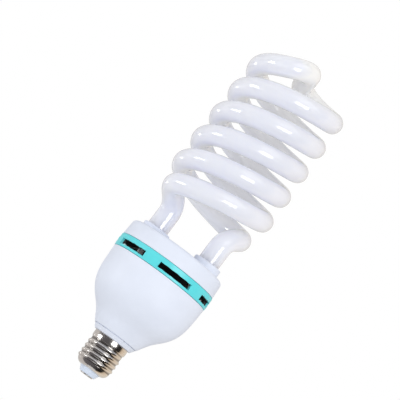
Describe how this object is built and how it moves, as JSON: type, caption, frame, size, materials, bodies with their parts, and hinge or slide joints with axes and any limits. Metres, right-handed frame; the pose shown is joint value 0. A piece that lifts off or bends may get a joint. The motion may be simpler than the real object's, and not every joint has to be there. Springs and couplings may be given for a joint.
{
  "type": "spiral fluorescent lamp",
  "caption": "Spiral fluorescent lamp: white coated glass tube in a double helix, white ballast housing with a turquoise vent ring, screw cap below",
  "frame": {"origin": "outer face of the centre contact, on the lamp's axis", "axes": "+Z along the axis from the cap to the spiral, +X to the right with one leg of the glass right and in front, -Y towards the viewer of the picture"},
  "size_m": [0.0812, 0.0816, 0.2577],
  "materials": {
    "phosphor_glass": "glossy glass with a white phosphor coating inside, opaque to the eye",
    "white_plastic": "moulded white plastic with a soft gloss",
    "turquoise_plastic": "moulded turquoise plastic with a soft gloss",
    "nickel_plate": "nickel-plated drawn sheet, rolled thread",
    "pale_insulator": "moulded pale insulator",
    "contact_metal": "nickel-plated pressed contact",
    "white_cement": "hardened white bonding cement",
    "board_laminate": "paper laminate board",
    "can_sleeve": "dark shrink sleeve over an aluminium can",
    "ferrite": "dark grey pressed ferrite",
    "bobbin_plastic": "black moulded bobbin",
    "enamelled_copper": "enamelled copper wire, close wound",
    "film_resin": "dipped dark red resin",
    "black_epoxy": "black moulded epoxy with tinned leads",
    "resistor_coating": "pale blue-green lacquer with tinned leads",
    "diode_glass": "small glass diode body with tinned leads",
    "thermistor_coating": "dark green dipped disc with tinned leads",
    "tinned_metal": "tinned wire and pins",
    "wire_sleeve": "pale sleeved supply wire"
  },
  "bodies": {
    "root": {"spiral_tube": "phosphor_glass", "top_cover": "white_plastic", "lower_housing": "white_plastic", "vent_ring": "turquoise_plastic", "screw_shell": "nickel_plate", "base_insulator": "pale_insulator", "centre_contact": "contact_metal", "tube_cement_1": "white_cement", "tube_cement_2": "white_cement", "circuit_board": "board_laminate", "bulk_capacitor_1": "can_sleeve", "bulk_capacitor_2": "can_sleeve", "choke_core": "ferrite", "choke_bobbin": "bobbin_plastic", "choke_winding": "enamelled_copper", "film_capacitor": "film_resin", "transistor_1": "black_epoxy", "transistor_2": "black_epoxy", "filter_choke_core": "ferrite", "filter_choke_winding": "enamelled_copper", "drive_ring_core": "ferrite", "drive_ring_windings": "enamelled_copper", "bridge_rectifier": "black_epoxy", "fuse_resistor": "resistor_coating", "trigger_diode": "diode_glass", "base_resistors": "resistor_coating", "thermistor": "thermistor_coating", "wrap_pins": "tinned_metal", "filament_leads": "tinned_metal", "supply_wire_middle": "wire_sleeve", "supply_wire_side": "wire_sleeve"}
  },
  "joints": []
}
